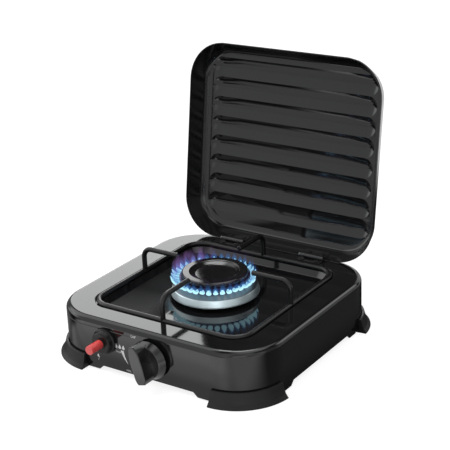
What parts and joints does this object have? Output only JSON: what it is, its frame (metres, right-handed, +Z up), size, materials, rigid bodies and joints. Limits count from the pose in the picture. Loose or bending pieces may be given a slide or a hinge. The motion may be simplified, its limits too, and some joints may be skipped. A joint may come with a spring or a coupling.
{
  "type": "table-top camping gas stove",
  "caption": "Table-top gas stove with a hinged ribbed lid, a rod pan support over a round burner in a pressed well, a rotary gas knob and a push-button igniter.",
  "frame": {"origin": "on the table, under the middle of the stove's outline with the lid standing open", "axes": "+X to the right along the front, +Y from the front to the hinge side, +Z up"},
  "size_m": [0.3004, 0.3536, 0.3055],
  "materials": {
    "black_enamel": "gloss",
    "rod_enamel": "satin",
    "cap_enamel": "satin",
    "cast_aluminium": "satin",
    "valve_brass": "satin",
    "steel": "satin",
    "hinge_metal": "gloss",
    "black_gloss_plastic": "gloss",
    "black_plastic": "matt",
    "red_plastic": "satin",
    "white_ceramic": "satin",
    "lead_rubber": "matt",
    "pipe_metal": "satin"
  },
  "bodies": {
    "stove": {"base_shell": "black_enamel", "foot_front_right": "black_plastic", "foot_rear_right": "black_plastic", "foot_rear_left": "black_plastic", "foot_front_left": "black_plastic", "foot_screws": "steel", "burner_base": "cast_aluminium", "burner_screws": "steel", "burner_head": "cast_aluminium", "valve_body": "valve_brass", "injector": "valve_brass", "valve_bracket": "steel", "bracket_rivets": "steel", "piezo_collar": "black_gloss_plastic", "piezo_body": "black_plastic", "electrode_ceramic": "white_ceramic", "electrode_pin": "steel", "ignition_lead": "lead_rubber", "inlet_fitting": "valve_brass", "inlet_nut": "valve_brass", "gas_pipe": "pipe_metal", "hinge_base_leaf_left": "hinge_metal", "hinge_base_leaf_right": "hinge_metal", "base_rivets": "steel", "hinge_pins": "steel"},
    "lid": {"lid_shell": "black_enamel", "hinge_lid_leaf_left": "hinge_metal", "hinge_lid_leaf_right": "hinge_metal", "lid_rivets": "steel"},
    "pan_support": {"pan_support": "rod_enamel"},
    "burner_cap": {"burner_cap": "cap_enamel"},
    "valve_plunger": {"valve_plunger": "valve_brass"},
    "knob": {"knob": "black_gloss_plastic", "valve_stem": "valve_brass"},
    "igniter_button": {"piezo_button": "red_plastic"}
  },
  "joints": [
    {"name": "lid_hinge", "type": "hinge", "parent": "stove", "child": "lid", "pos_m": [0, 0.11162, 0.0659], "axis": [-1, 0, 0], "range_deg": [-98.6, 0]},
    {"name": "pan_support_lift", "type": "slide", "parent": "stove", "child": "pan_support", "axis": [0, 0, 1], "range_m": [0, 0.04]},
    {"name": "cap_lift", "type": "slide", "parent": "stove", "child": "burner_cap", "axis": [0, 0, 1], "range_m": [0, 0.03]},
    {"name": "knob_push", "type": "slide", "parent": "stove", "child": "valve_plunger", "axis": [0, 1, 0], "range_m": [0, 0.003], "stiffness_N_per_m": 2500, "springref_m": -0.002},
    {"name": "knob_turn", "type": "hinge", "parent": "valve_plunger", "child": "knob", "pos_m": [0.0075, -0.14178, 0.033], "axis": [0, -1, 0], "range_deg": [0, 125]},
    {"name": "igniter_push", "type": "slide", "parent": "stove", "child": "igniter_button", "axis": [0, 1, 0], "range_m": [0, 0.007], "stiffness_N_per_m": 900, "springref_m": -0.004}
  ]
}
